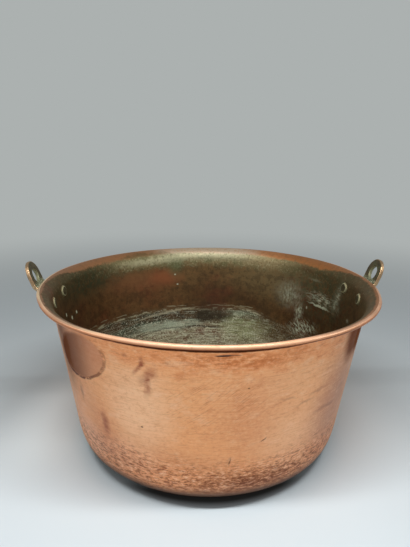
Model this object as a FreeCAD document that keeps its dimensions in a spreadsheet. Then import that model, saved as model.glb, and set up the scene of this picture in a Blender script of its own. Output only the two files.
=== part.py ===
import FreeCAD, Part
import os
import Sketcher
from math import atan2, cos, degrees, hypot, radians, sin, tan

# A large copper pan of the kind used for boiling laundry: one raised and planished
# copper vessel, its lip flared and rolled over an iron wire, with a cast ear riveted
# on at each side. The bail that such ears can carry is not part of this piece.
# Millimetres and degrees. The origin is the middle of the flat bottom, +Z is up and
# the ears stand on the X axis, so +Y is the back of the pan.

SIZES = {
    # vessel
    "rim_radius": 240,       # axis to the outermost line of the rolled rim
    "pan_height": 240,       # floor to the top of the rolled rim
    "sheet_gauge": 1.2,
    "heel_radius": 68.5,     # three arcs, outside, carry the bottom into the wall
    "heel_turn": 40,
    "corner_radius": 30,
    "corner_turn": 30,
    "side_radius": 105,
    "wall_slope": 81.7,      # wall above the floor's plane
    "lip_radius": 20.5,      # outside of the flare, where the wall turns out
    "lip_slope": 15,         # what is left of that slope where the curl begins
    "curl_turn": 290,        # how far the sheet's edge is rolled round the wire
    # wire in the rim
    "wire_radius": 1.8,
    "wire_play": 0.05,
    # ears
    "ear_gauge": 5,          # neck and eye
    "foot_gauge": 6,
    "ear_play": 0.1,         # between the foot and the wall it lies on
    "foot_length": 80,
    "foot_depth": 18,
    "root_bend": 9,          # inner face, where the neck leaves the wall
    "neck_slope": 40,
    "neck_gap": 0.8,         # between the neck and the rolled rim above it
    "eye_bend": 5,           # inner face, where the neck turns up into the eye
    "neck_width": 30,
    "neck_curve": 8,         # both curves of the shoulder between neck and eye
    "eye_width": 42.4,
    "eye_reach": 10.3,       # eye's centre, out from the rim's outermost line
    "eye_rise": 8.6,         # eye's centre, up from the top of the rim
    "eye_lean": 20.6,
    "eye_bore": 20,
    "ear_round": 0.9,        # softened edges of the casting
    # rivets
    "rivet_drop": 24,        # below the top of the rim
    "rivet_spread": 7.5,     # degrees round the wall, each side of the ear
    "shank_radius": 3.2,
    "hole_play": 0.15,
    "head_radius": 7.8,
    "head_height": 2,
    "head_edge": 1.2,        # rounding of the inside head
    "set_radius": 6,
    "set_height": 3,
    "seat_play": 0.05,
}

FORMULAS = {
    "bead_radius": "wire_radius + wire_play + sheet_gauge",
    "bead_reach": "rim_radius - bead_radius",
    "bead_level": "pan_height - bead_radius",
    "curl_radius": "wire_radius + wire_play",
    "wall_top_reach": (
        "bead_reach - curl_radius * sin(lip_slope)"
        " + lip_radius * (sin(lip_slope) - sin(wall_slope))"
    ),
    "wall_top_level": (
        "bead_level + curl_radius * cos(lip_slope)"
        " + lip_radius * (cos(wall_slope) - cos(lip_slope))"
    ),
    "eye_centre_reach": "rim_radius + eye_reach",
    "eye_centre_level": "pan_height + eye_rise",
    "foot_bottom": "wall_top_level - foot_depth",
    "rivet_level": "pan_height - rivet_drop",
    "rivet_reach": "wall_top_reach - (wall_top_level - rivet_level) / tan(wall_slope)",
    "hole_radius": "shank_radius + hole_play",
    # the inside head is flat, so its edge meets the hollow wall before its middle
    "head_lift": "head_radius * head_radius / (2 * (rivet_reach - sheet_gauge)) + seat_play",
    "stack": "ear_play + foot_gauge + seat_play",
    # the flat neck starts inside the curved foot, clear of both its faces
    "neck_inset": "(foot_gauge - ear_gauge) / 4",
}

FULL_TURN = 360
SLIGHT_ANGLE = 20
ORIGIN = FreeCAD.Vector(0, 0, 0)
UP = FreeCAD.Vector(0, 0, 1)
ACROSS = FreeCAD.Vector(0, 1, 0)

doc = FreeCAD.newDocument("copper_boiler")


def make_sheet():
    """The one table that every sketch and feature takes its sizes from."""
    sheet = doc.addObject("Spreadsheet::Sheet", "Sizes")
    rows = [(name, str(value)) for name, value in SIZES.items()]
    rows += [(name, "=" + formula) for name, formula in FORMULAS.items()]
    for row, (name, content) in enumerate(rows, start=1):
        sheet.set("A%d" % row, name)
        sheet.set("B%d" % row, content)
        sheet.setAlias("B%d" % row, name)
    doc.recompute()
    return sheet


SHEET = make_sheet()


def size(name):
    """A size as a plain number."""
    value = SHEET.get(name)
    return float(getattr(value, "Value", value))


def ahead(point, heading, distance):
    return (point[0] + distance * cos(radians(heading)), point[1] + distance * sin(radians(heading)))


def leftward(point, heading, distance):
    return ahead(point, heading + 90, distance)


def meet(point_a, heading_a, point_b, heading_b):
    """Where two straight lines cross."""
    ax, ay = cos(radians(heading_a)), sin(radians(heading_a))
    bx, by = cos(radians(heading_b)), sin(radians(heading_b))
    gap_x, gap_y = point_b[0] - point_a[0], point_b[1] - point_a[1]
    along = (gap_x * by - gap_y * bx) / (ax * by - ay * bx)
    return ahead(point_a, heading_a, along)


def distance(point_a, point_b):
    return hypot(point_b[0] - point_a[0], point_b[1] - point_a[1])


def vector(point):
    return FreeCAD.Vector(point[0], point[1], 0)


class Outline:
    """A sketch of straight and curved runs, with its sizes tied to the table."""

    across_line, upright_line = -1, -2  # the sketch's own axes

    def __init__(self, body, name, plane):
        self.sketch = body.newObject("Sketcher::SketchObject", name)
        self.sketch.AttachmentSupport = [(origin_feature(body, plane), "")]
        self.sketch.MapMode = "FlatFace"

    def rule(self, kind, *items):
        return self.sketch.addConstraint(Sketcher.Constraint(kind, *items))

    def tied(self, formula, kind, *items):
        """A measured rule whose value follows an expression of the table's names."""
        index = self.rule(kind, *items)
        self.sketch.setExpression("Constraints[%d]" % index, formula)

    def line(self, start, end):
        return self.sketch.addGeometry(Part.LineSegment(vector(start), vector(end)), False)

    def mark(self, point, reach_formula, level_formula):
        """A construction point placed by the table."""
        index = self.sketch.addGeometry(Part.Point(vector(point)), True)
        self.tied(reach_formula, "DistanceX", -1, 1, index, 1, point[0])
        self.tied(level_formula, "DistanceY", -1, 1, index, 1, point[1])
        return index

    def chain(self, start, heading, runs):
        """Draw runs that follow on smoothly. A run is (length,) or (radius, turn),
        where a turn to the left is positive. Returns (geometry, entry, exit) each."""
        pieces = []
        for run in runs:
            if len(run) == 1:
                end = ahead(start, heading, run[0])
                pieces.append((self.line(start, end), 1, 2))
                start = end
            else:
                radius, turn = run
                side = 1 if turn > 0 else -1
                centre = leftward(start, heading, side * radius)
                first = heading - side * 90
                last = first + turn
                circle = Part.Circle(vector(centre), UP, radius)
                low, high = sorted((radians(first), radians(last)))
                index = self.sketch.addGeometry(Part.ArcOfCircle(circle, low, high), False)
                pieces.append((index, 1, 2) if turn > 0 else (index, 2, 1))
                heading = heading + turn
                start = leftward(centre, heading, -side * radius)
            if len(pieces) > 1:
                before, after = pieces[-2], pieces[-1]
                self.rule("Tangent", before[0], before[2], after[0], after[1])
        return pieces

    def strip(self, start, heading, runs, gauge, side):
        """A strip of even gauge bent along runs. The runs are its reference face, and
        the gauge lies to the left of it (side 1) or to the right (side -1)."""
        face = self.chain(start, heading, runs)
        other_runs = []
        for run in runs:
            if len(run) == 1:
                other_runs.append(run)
            else:
                inward = side if run[1] > 0 else -side
                other_runs.append((run[0] - inward * gauge, run[1]))
        other = self.chain(leftward(start, heading, side * gauge), heading, other_runs)
        for run, (one, _, _), (two, _, _) in zip(runs, face, other):
            if len(run) == 1:
                self.rule("Parallel", one, two)
            else:
                self.rule("Coincident", one, 3, two, 3)
        first_end = self.end_cap(face[0][0], face[0][1], other[0][0], other[0][1])
        self.rule("Perpendicular", first_end, face[0][0])
        last_end = self.end_cap(face[-1][0], face[-1][2], other[-1][0], other[-1][2])
        if len(runs[-1]) == 1:
            self.rule("Perpendicular", last_end, face[-1][0])
        else:
            self.rule("PointOnObject", face[-1][0], 3, last_end)
        return face, other, first_end, last_end

    def end_cap(self, one, one_end, two, two_end):
        start = self.sketch.getPoint(one, one_end)
        end = self.sketch.getPoint(two, two_end)
        cap = self.line((start.x, start.y), (end.x, end.y))
        self.rule("Coincident", cap, 1, one, one_end)
        self.rule("Coincident", cap, 2, two, two_end)
        return cap

    def check(self):
        state = self.sketch.solve()
        if state != 0 or not self.sketch.FullyConstrained:
            raise RuntimeError("sketch %s: solver %s, fixed %s" % (
                self.sketch.Name, state, self.sketch.FullyConstrained))


def origin_feature(body, role):
    return next(item for item in body.Origin.OriginFeatures if item.Role == role)


def new_body(name):
    return doc.addObject("PartDesign::Body", name)


def revolve(body, outline, axis, turn=None):
    """Turn a sketch about one of its body's own axes, all round or evenly to both sides."""
    feature = body.newObject("PartDesign::Revolution", body.Name + "_turned")
    feature.Profile = outline.sketch
    feature.ReferenceAxis = (origin_feature(body, axis), [""])
    feature.Angle = FULL_TURN
    if turn is not None:
        feature.Midplane = True
        feature.setExpression("Angle", turn)
    outline.sketch.Visibility = False
    return feature


def pad(body, outline, length, both_ways):
    feature = body.newObject("PartDesign::Pad", body.Name + "_padded")
    feature.Profile = outline.sketch
    feature.Midplane = both_ways
    feature.setExpression("Length", length)
    outline.sketch.Visibility = False
    return feature


def mirror_half(body, feature):
    """Complete a half that was drawn on one side of the body's XZ plane."""
    doc.recompute()
    other = body.newObject("PartDesign::Mirrored", body.Name + "_whole")
    other.Originals = [feature]
    other.MirrorPlane = (origin_feature(body, "XZ_Plane"), [""])
    body.Tip = other


def boolean(kind, name, base, tools):
    feature = doc.addObject("Part::" + kind, name)
    if kind == "Cut":
        feature.Base = base
        feature.Tool = tools
    else:
        feature.Shapes = [base] + tools
    return feature


def is_sharp(edge, faces):
    """True where two faces meet at more than a slight angle."""
    middle = edge.valueAt((edge.FirstParameter + edge.LastParameter) / 2)
    normals = []
    for face in faces:
        across, along = face.Surface.parameter(middle)
        normals.append(face.normalAt(across, along))
    return normals[0].getAngle(normals[1]) > radians(SLIGHT_ANGLE)


def soften(name, base, wanted):
    """Round the sharp edges of a casting whose middles are in a wanted place."""
    doc.recompute()
    shape = base.Shape
    chosen = []
    for number, edge in enumerate(shape.Edges, start=1):
        faces = [face for face in shape.Faces if any(edge.isSame(other) for other in face.Edges)]
        if len(faces) == 2 and wanted(edge.CenterOfMass) and is_sharp(edge, faces):
            chosen.append((number, size("ear_round"), size("ear_round")))
    feature = doc.addObject("Part::Fillet", name)
    feature.Base = base
    feature.Edges = chosen
    return feature


# ---- vessel ---------------------------------------------------------------------


def make_vessel():
    """The copper sheet in section, floor to rolled edge, turned about the axis."""
    body = new_body("vessel")
    outline = Outline(body, "vessel_section", "XZ_Plane")
    slope = size("wall_slope")
    heel, corner = size("heel_turn"), size("corner_turn")
    third = slope - heel - corner
    curves = [
        (size("heel_radius"), heel),
        (size("corner_radius"), corner),
        (size("side_radius"), third),
    ]
    reach, level, heading = 0.0, 0.0, 0.0
    for radius, turn in curves:
        reach += radius * (sin(radians(heading + turn)) - sin(radians(heading)))
        level += radius * (cos(radians(heading)) - cos(radians(heading + turn)))
        heading += turn
    wall_rise = size("wall_top_level") - level
    floor_radius = size("wall_top_reach") - reach - wall_rise / tan(radians(slope))
    runs = [(floor_radius,)] + curves + [
        (wall_rise / sin(radians(slope)),),
        (size("lip_radius"), size("lip_slope") - slope),
        (size("curl_radius"), -size("curl_turn")),
    ]
    face, _, middle, _ = outline.strip((0, 0), 0, runs, size("sheet_gauge"), 1)
    floor, heel_arc, corner_arc, side_arc, wall, lip, curl = [piece[0] for piece in face]
    outline.rule("Coincident", floor, 1, -1, 1)
    outline.rule("PointOnObject", floor, 2, Outline.across_line)
    outline.tied("Sizes.sheet_gauge", "Distance", middle, size("sheet_gauge"))
    outline.tied("Sizes.heel_radius", "Radius", heel_arc, size("heel_radius"))
    outline.tied("Sizes.corner_radius", "Radius", corner_arc, size("corner_radius"))
    outline.tied("Sizes.side_radius", "Radius", side_arc, size("side_radius"))
    outline.tied("Sizes.lip_radius", "Radius", lip, size("lip_radius"))
    outline.tied("Sizes.curl_radius", "Radius", curl, size("curl_radius"))
    outline.tied("Sizes.heel_turn", "Angle", heel_arc, radians(heel))
    outline.tied("Sizes.corner_turn", "Angle", corner_arc, radians(corner))
    outline.tied("Sizes.wall_slope - Sizes.heel_turn - Sizes.corner_turn",
                 "Angle", side_arc, radians(third))
    outline.tied("Sizes.wall_slope - Sizes.lip_slope",
                 "Angle", lip, radians(slope - size("lip_slope")))
    outline.tied("Sizes.curl_turn", "Angle", curl, radians(size("curl_turn")))
    outline.tied("Sizes.bead_reach", "DistanceX", -1, 1, curl, 3, size("bead_reach"))
    outline.tied("Sizes.bead_level", "DistanceY", -1, 1, curl, 3, size("bead_level"))
    outline.check()
    revolve(body, outline, "Z_Axis")
    return body


def make_rim_wire():
    """The iron ring that the edge of the sheet is rolled round."""
    ring = doc.addObject("Part::Torus", "rim_wire")
    ring.setExpression("Radius1", "Sizes.bead_reach")
    ring.setExpression("Radius2", "Sizes.wire_radius")
    ring.setExpression("Placement.Base.z", "Sizes.bead_level")
    return ring


# ---- rivets ---------------------------------------------------------------------


def rivet_seat(bearing):
    """A frame on the outside of the wall, its X axis square to the wall."""
    lean = FreeCAD.Rotation(ACROSS, 90 - size("wall_slope"))
    on_wall = FreeCAD.Vector(size("rivet_reach"), 0, size("rivet_level"))
    round_pan = FreeCAD.Placement(ORIGIN, FreeCAD.Rotation(UP, bearing))
    return round_pan.multiply(FreeCAD.Placement(on_wall, lean))


def make_rivet_drill(name, bearing):
    """What is bored out of the wall and of the ear for one rivet."""
    drill = doc.addObject("Part::Cylinder", name)
    drill.setExpression("Radius", "Sizes.hole_radius")
    drill.setExpression("Height", "4 * Sizes.stack")
    reach = 2 * size("stack")
    start = FreeCAD.Placement(FreeCAD.Vector(-reach, 0, 0), FreeCAD.Rotation(ACROSS, 90))
    drill.Placement = rivet_seat(bearing).multiply(start)
    return drill


def make_rivet(name, bearing):
    """Flat head inside the pan, shank through wall and ear, hammered head outside."""
    body = new_body(name)
    outline = Outline(body, name + "_section", "XZ_Plane")
    lift, gauge = size("head_lift"), size("sheet_gauge")
    head, edge = size("head_radius"), size("head_edge")
    inner_face = -gauge - lift
    top = inner_face - size("head_height")
    outer_face = size("stack")
    set_radius, set_height = size("set_radius"), size("set_height")
    dome = (set_radius ** 2 + set_height ** 2) / (2 * set_height)
    dome_turn = degrees(atan2(set_radius, dome - set_height))
    points = [
        (inner_face, head), (inner_face, size("shank_radius")),
        (outer_face, size("shank_radius")), (outer_face, set_radius),
    ]
    crown = outline.chain((top, 0), 90, [(head - edge,), (edge, -90)])
    skirt_low = outline.line(outline_point(outline, crown[1]), points[0])
    steps = [outline.line(a, b) for a, b in zip(points, points[1:])]
    centre = (outer_face + set_height - dome, 0)
    circle = Part.Circle(vector(centre), UP, dome)
    cap = outline.sketch.addGeometry(Part.ArcOfCircle(circle, 0, radians(dome_turn)), False)
    middle = outline.line((outer_face + set_height, 0), (top, 0))
    disc, rounding = crown[0][0], crown[1][0]
    under, shank, seat = steps
    outline.rule("Tangent", rounding, 1, skirt_low, 1)
    for before, after in ((skirt_low, under), (under, shank), (shank, seat)):
        outline.rule("Coincident", before, 2, after, 1)
    outline.rule("Coincident", seat, 2, cap, 2)
    outline.rule("Coincident", cap, 1, middle, 1)
    outline.rule("Coincident", middle, 2, disc, 1)
    outline.rule("PointOnObject", cap, 3, Outline.across_line)
    outline.rule("PointOnObject", middle, 1, Outline.across_line)
    outline.rule("PointOnObject", middle, 2, Outline.across_line)
    for upright in (disc, under, seat):
        outline.rule("Vertical", upright)
    for level in (skirt_low, shank):
        outline.rule("Horizontal", level)
    outline.tied("Sizes.head_edge", "Radius", rounding, edge)
    outline.tied("Sizes.head_height", "DistanceX", disc, 1, skirt_low, 2, size("head_height"))
    outline.tied("Sizes.head_radius", "DistanceY", -1, 1, skirt_low, 2, head)
    outline.tied("Sizes.shank_radius", "DistanceY", -1, 1, shank, 1, size("shank_radius"))
    outline.tied("Sizes.set_radius", "DistanceY", -1, 1, seat, 2, set_radius)
    outline.tied("Sizes.sheet_gauge + Sizes.head_lift",
                 "DistanceX", under, 1, -1, 1, gauge + lift)
    outline.tied("Sizes.stack", "DistanceX", -1, 1, seat, 1, outer_face)
    outline.tied("Sizes.set_height", "DistanceX", seat, 2, cap, 1, set_height)
    outline.check()
    revolve(body, outline, "X_Axis")
    body.Placement = rivet_seat(bearing)
    return body


def outline_point(outline, piece):
    """Where a run of a chain ends."""
    point = outline.sketch.getPoint(piece[0], piece[2])
    return (point.x, point.y)


# ---- ears -----------------------------------------------------------------------


def along_wall(gap):
    """A point and a heading on the line that lies this far outside the wall."""
    top = (size("wall_top_reach"), size("wall_top_level"))
    return leftward(top, size("wall_slope"), -gap), size("wall_slope")


def make_foot_band(name):
    """A band lying on the wall, longer and deeper than the foot."""
    body = new_body(name)
    outline = Outline(body, name + "_section", "XZ_Plane")
    top, heading = along_wall(size("ear_play"))
    gauge = size("foot_gauge")
    start = ahead(top, heading, -size("foot_depth") - gauge)
    length = size("foot_depth") + 2 * gauge
    face, _, first_end, _ = outline.strip(start, heading, [(length,)], gauge, -1)
    inner = face[0][0]
    corner = outline.mark((size("wall_top_reach"), size("wall_top_level")),
                          "Sizes.wall_top_reach", "Sizes.wall_top_level")
    outline.tied("Sizes.wall_slope", "Angle", inner, radians(heading))
    outline.tied("Sizes.ear_play", "Distance", corner, 1, inner, size("ear_play"))
    outline.tied("Sizes.foot_gauge", "Distance", first_end, gauge)
    outline.tied("Sizes.foot_depth + 2 * Sizes.foot_gauge", "Distance", inner, length)
    outline.tied("Sizes.wall_top_level - (Sizes.foot_depth + Sizes.foot_gauge) * sin(Sizes.wall_slope)"
                 " - Sizes.ear_play * cos(Sizes.wall_slope)",
                 "DistanceY", -1, 1, inner, 1, start[1])
    outline.check()
    revolve(body, outline, "Z_Axis", "2 * asin(Sizes.foot_length / 2 / Sizes.rivet_reach) + 4 deg")
    return body


def make_foot(name):
    """The foot: that band trimmed to a round-ended strap, its outer edge softened."""
    body = new_body(name + "_strap")
    outline = Outline(body, name + "_front", "YZ_Plane")
    half, radius = size("foot_length") / 2, size("foot_depth") / 2
    bottom, top = size("foot_bottom"), size("wall_top_level")
    runs = [(half - radius,), (radius, 180), (half - radius,)]
    low, end, high = [piece[0] for piece in outline.chain((0, bottom), 0, runs)]
    middle = outline.line((0, top), (0, bottom))
    outline.rule("Coincident", high, 2, middle, 1)
    outline.rule("Coincident", middle, 2, low, 1)
    outline.rule("PointOnObject", low, 1, Outline.upright_line)
    outline.rule("PointOnObject", high, 2, Outline.upright_line)
    outline.rule("Horizontal", low)
    outline.rule("Horizontal", high)
    outline.tied("Sizes.foot_depth / 2", "Radius", end, radius)
    outline.tied("Sizes.foot_bottom", "DistanceY", -1, 1, low, 1, bottom)
    outline.tied("(Sizes.foot_length - Sizes.foot_depth) / 2",
                 "DistanceX", -1, 1, end, 3, half - radius)
    outline.check()
    mirror_half(body, pad(body, outline, "2 * Sizes.rim_radius", False))
    trimmed = boolean("MultiCommon", name + "_trimmed", make_foot_band(name + "_band"), [body])
    outside = size("rivet_reach") + size("foot_gauge") / 2
    return soften(name, trimmed, lambda middle: hypot(middle.x, middle.y) > outside)


def make_neck_blank(name):
    """The bent strap in section: up the wall, out under the lip, up into the eye."""
    body = new_body(name)
    outline = Outline(body, name + "_section", "XZ_Plane")
    gauge = size("ear_gauge")
    top, slope = along_wall(size("ear_play") + size("neck_inset"))
    neck_slope, lean = size("neck_slope"), size("eye_lean")
    bead = (size("bead_reach"), size("bead_level"))
    below_bead = leftward(bead, neck_slope, -size("bead_radius") - size("neck_gap"))
    eye = (size("eye_centre_reach"), size("eye_centre_level"))
    in_eye = leftward(eye, 90 - lean, gauge / 2)
    root = meet(top, slope, below_bead, neck_slope)
    turn_up = meet(below_bead, neck_slope, in_eye, 90 - lean)
    root_turn = neck_slope - slope
    eye_turn = 90 - lean - neck_slope
    root_cut = size("root_bend") * tan(radians(-root_turn / 2))
    eye_cut = size("eye_bend") * tan(radians(eye_turn / 2))
    start = ahead(top, slope, gauge - size("foot_depth"))
    over = size("eye_width") / 2 + gauge
    runs = [
        (distance(start, root) - root_cut,),
        (size("root_bend"), root_turn),
        (distance(root, turn_up) - root_cut - eye_cut,),
        (size("eye_bend"), eye_turn),
        (distance(turn_up, in_eye) - eye_cut + over,),
    ]
    face, _, first_end, _ = outline.strip(start, slope, runs, gauge, -1)
    on_wall, root_arc, neck, eye_arc, in_plate = [piece[0] for piece in face]
    corner = outline.mark((size("wall_top_reach"), size("wall_top_level")),
                          "Sizes.wall_top_reach", "Sizes.wall_top_level")
    bead_mark = outline.mark(bead, "Sizes.bead_reach", "Sizes.bead_level")
    eye_mark = outline.mark(eye, "Sizes.eye_centre_reach", "Sizes.eye_centre_level")
    outline.tied("Sizes.wall_slope", "Angle", on_wall, radians(slope))
    outline.tied("Sizes.neck_slope", "Angle", neck, radians(neck_slope))
    outline.tied("90 - Sizes.eye_lean", "Angle", in_plate, radians(90 - lean))
    outline.tied("Sizes.ear_play + Sizes.neck_inset",
                 "Distance", corner, 1, on_wall, size("ear_play") + size("neck_inset"))
    outline.tied("Sizes.bead_radius + Sizes.neck_gap",
                 "Distance", bead_mark, 1, neck, distance(bead, below_bead))
    outline.tied("Sizes.ear_gauge / 2", "Distance", eye_mark, 1, in_plate, gauge / 2)
    outline.tied("Sizes.ear_gauge", "Distance", first_end, gauge)
    outline.tied("Sizes.root_bend", "Radius", root_arc, size("root_bend"))
    outline.tied("Sizes.eye_bend", "Radius", eye_arc, size("eye_bend"))
    outline.tied("Sizes.wall_top_level - (Sizes.foot_depth - Sizes.ear_gauge) * sin(Sizes.wall_slope)"
                 " - (Sizes.ear_play + Sizes.neck_inset) * cos(Sizes.wall_slope)",
                 "DistanceY", -1, 1, on_wall, 1, start[1])
    end = outline_point(outline, face[-1])
    outline.tied("Sizes.eye_centre_level + Sizes.ear_gauge / 2 * sin(Sizes.eye_lean)"
                 " + (Sizes.eye_width / 2 + Sizes.ear_gauge) * cos(Sizes.eye_lean)",
                 "DistanceY", -1, 1, in_plate, 2, end[1])
    outline.check()
    pad(body, outline, "Sizes.eye_width + 2 * Sizes.ear_gauge", True)
    return body


def make_neck_front(name):
    """The front view of the neck: narrow at the foot, then out to the eye's width."""
    body = new_body(name)
    outline = Outline(body, name + "_front", "YZ_Plane")
    narrow, wide = size("neck_width") / 2, size("eye_width") / 2
    curve = size("neck_curve")
    swing = degrees(atan2((1 - (1 - (wide - narrow) / (2 * curve)) ** 2) ** 0.5,
                          1 - (wide - narrow) / (2 * curve)))
    bottom = size("foot_bottom") + size("ear_gauge") / 2
    shoulder = size("wall_top_level")
    runs = [
        (shoulder - bottom,),
        (curve, -swing),
        (curve, swing),
        (2 * wide,),
    ]
    chain = outline.chain((narrow, bottom), 90, runs)
    straight, out, back, side = [piece[0] for piece in chain]
    top = outline_point(outline, chain[-1])
    base = outline.line((0, bottom), (narrow, bottom))
    lid = outline.line(top, (0, top[1]))
    middle = outline.line((0, top[1]), (0, bottom))
    outline.rule("Coincident", base, 2, straight, 1)
    outline.rule("Coincident", side, 2, lid, 1)
    outline.rule("Coincident", lid, 2, middle, 1)
    outline.rule("Coincident", middle, 2, base, 1)
    outline.rule("PointOnObject", base, 1, Outline.upright_line)
    outline.rule("PointOnObject", middle, 1, Outline.upright_line)
    outline.rule("Horizontal", base)
    outline.rule("Horizontal", lid)
    outline.rule("Vertical", straight)
    outline.rule("Vertical", side)
    outline.rule("Equal", out, back)
    outline.tied("Sizes.neck_curve", "Radius", out, curve)
    outline.tied("Sizes.neck_width / 2", "DistanceX", -1, 1, straight, 1, narrow)
    outline.tied("Sizes.eye_width / 2", "DistanceX", -1, 1, side, 1, wide)
    outline.tied("Sizes.foot_bottom + Sizes.ear_gauge / 2",
                 "DistanceY", -1, 1, straight, 1, bottom)
    outline.tied("Sizes.wall_top_level", "DistanceY", -1, 1, straight, 2, shoulder)
    outline.tied("Sizes.eye_width", "Distance", side, 2 * wide)
    outline.check()
    mirror_half(body, pad(body, outline, "2 * Sizes.rim_radius", False))
    return body


def eye_frame():
    """A frame at the eye's centre, its X axis square to the leaning plate."""
    centre = FreeCAD.Vector(size("eye_centre_reach"), 0, size("eye_centre_level"))
    return FreeCAD.Placement(centre, FreeCAD.Rotation(ACROSS, size("eye_lean")))


def make_eye_arch(name):
    """The round head of the eye, drawn square to the leaning plate."""
    body = new_body(name)
    outline = Outline(body, name + "_front", "YZ_Plane")
    radius = size("eye_width") / 2
    depth = 3 * radius
    chain = outline.chain((0, radius), 0, [(radius, -90), (depth,)])
    crown, side = [piece[0] for piece in chain]
    low = outline.line((radius, -depth), (0, -depth))
    middle = outline.line((0, -depth), (0, radius))
    outline.rule("Coincident", side, 2, low, 1)
    outline.rule("Coincident", low, 2, middle, 1)
    outline.rule("Coincident", middle, 2, crown, 2)
    outline.rule("Coincident", crown, 3, -1, 1)
    outline.rule("PointOnObject", middle, 1, Outline.upright_line)
    outline.rule("PointOnObject", crown, 2, Outline.upright_line)
    outline.rule("Horizontal", low)
    outline.rule("Vertical", side)
    outline.tied("Sizes.eye_width / 2", "Radius", crown, radius)
    outline.tied("1.5 * Sizes.eye_width", "Distance", side, depth)
    outline.check()
    mirror_half(body, pad(body, outline, "2 * Sizes.eye_width", True))
    body.Placement = eye_frame()
    return body


def make_eye_drill(name):
    drill = doc.addObject("Part::Cylinder", name)
    drill.setExpression("Radius", "Sizes.eye_bore / 2")
    drill.setExpression("Height", "4 * Sizes.ear_gauge")
    start = FreeCAD.Placement(FreeCAD.Vector(-2 * size("ear_gauge"), 0, 0),
                              FreeCAD.Rotation(ACROSS, 90))
    drill.Placement = eye_frame().multiply(start)
    return drill


def make_ear(name, bearing):
    """Foot, bent neck and eye in one casting, bored for its rivets and its bail."""
    foot = make_foot(name + "_foot")
    blank = boolean("MultiCommon", name + "_blank", make_neck_blank(name + "_bent"),
                    [make_neck_front(name + "_waist"), make_eye_arch(name + "_arch")])
    eyed = boolean("Cut", name + "_eyed", blank, make_eye_drill(name + "_eye_drill"))
    above_foot = size("foot_bottom") + size("ear_gauge")
    neck = soften(name + "_neck", eyed, lambda middle: middle.z > above_foot)
    casting = boolean("MultiFuse", name + "_casting", foot, [neck])
    spread = size("rivet_spread")
    drills = boolean("MultiFuse", name + "_drills",
                     make_rivet_drill(name + "_drill_front", -spread),
                     [make_rivet_drill(name + "_drill_back", spread)])
    bored = boolean("Cut", name, casting, drills)
    bored.Placement = FreeCAD.Placement(ORIGIN, FreeCAD.Rotation(UP, bearing))
    return bored


# ---- the whole pan --------------------------------------------------------------

EARS = {"right": 0, "left": 180}
vessel = make_vessel()
parts = [make_rim_wire()]
wall_drills = []
for side, bearing in EARS.items():
    parts.append(make_ear(side + "_ear", bearing))
    front = -size("rivet_spread") if side == "right" else size("rivet_spread")
    for place, offset in (("front", front), ("back", -front)):
        wall_drills.append(make_rivet_drill("wall_drill_%s_%s" % (side, place), bearing + offset))
        parts.append(make_rivet("%s_%s_rivet" % (side, place), bearing + offset))
holes = boolean("MultiFuse", "wall_drills", wall_drills[0], wall_drills[1:])
parts.append(boolean("Cut", "pan", vessel, holes))

doc.recompute()
for item in doc.Objects:
    if "Invalid" in item.State or "Error" in item.State:
        raise RuntimeError("%s did not build: %s" % (item.Name, item.State))
os.makedirs("parts", exist_ok=True)
for part in parts:
    part.Label = part.Name
    shape = part.Shape
    if shape.isNull() or not shape.isValid() or len(shape.Solids) != 1:
        raise RuntimeError("%s is not one sound solid" % part.Label)
    shape.exportStep("parts/%s.step" % part.Label)
    print("%-18s volume %9.1f mm3, area %9.1f mm2, faces %d" % (
        part.Label, shape.Volume, shape.Area, len(shape.Faces)))
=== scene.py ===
from math import cos, degrees, pi, radians, sin, tan

import bpy
from mathutils import Matrix, Vector, noise


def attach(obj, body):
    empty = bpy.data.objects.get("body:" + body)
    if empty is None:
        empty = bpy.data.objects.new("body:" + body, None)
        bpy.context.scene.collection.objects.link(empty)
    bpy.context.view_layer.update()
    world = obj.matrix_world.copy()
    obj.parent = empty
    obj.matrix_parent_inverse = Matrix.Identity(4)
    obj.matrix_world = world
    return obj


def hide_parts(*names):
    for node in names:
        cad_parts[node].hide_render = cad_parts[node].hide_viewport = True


# A large copper boiling pan: raised copper, polished outside and left to tarnish inside,
# with its edge rolled over a wire and two cast eyes riveted on. The geometry is in
# metres and the finishes measure in millimetres. The ears stand on the X axis.

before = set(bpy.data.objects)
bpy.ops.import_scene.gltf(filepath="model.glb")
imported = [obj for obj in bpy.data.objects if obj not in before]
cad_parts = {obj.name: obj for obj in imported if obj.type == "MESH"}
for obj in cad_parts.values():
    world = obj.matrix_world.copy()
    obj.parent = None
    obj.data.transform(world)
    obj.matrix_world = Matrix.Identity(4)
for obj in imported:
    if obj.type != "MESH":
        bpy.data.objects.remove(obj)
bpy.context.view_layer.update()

MM = 0.001


# ---- finishes -------------------------------------------------------------------

# In millimetres: the wall's middling radius, the middle of a rivet's head inside the pan
# and the middle of an ear's eye. The eye leans outwards by so many degrees.
WALL_REACH = 212
RIVET_HEAD = (217.4, 28.6, 216.3)
EYE, EYE_LEAN = (250.3, 0, 248.6), 20.6


def tint(red, green, blue):
    """A colour given as it shows on a screen, 0 to 255, turned into amounts of light."""
    shares = (c / 255 for c in (red, green, blue))
    return tuple(s / 12.92 if s < 0.04 else ((s + 0.055) / 1.055) ** 2.4 for s in shares) + (1,)


BACKGROUND = tint(172, 177, 176)


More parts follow.
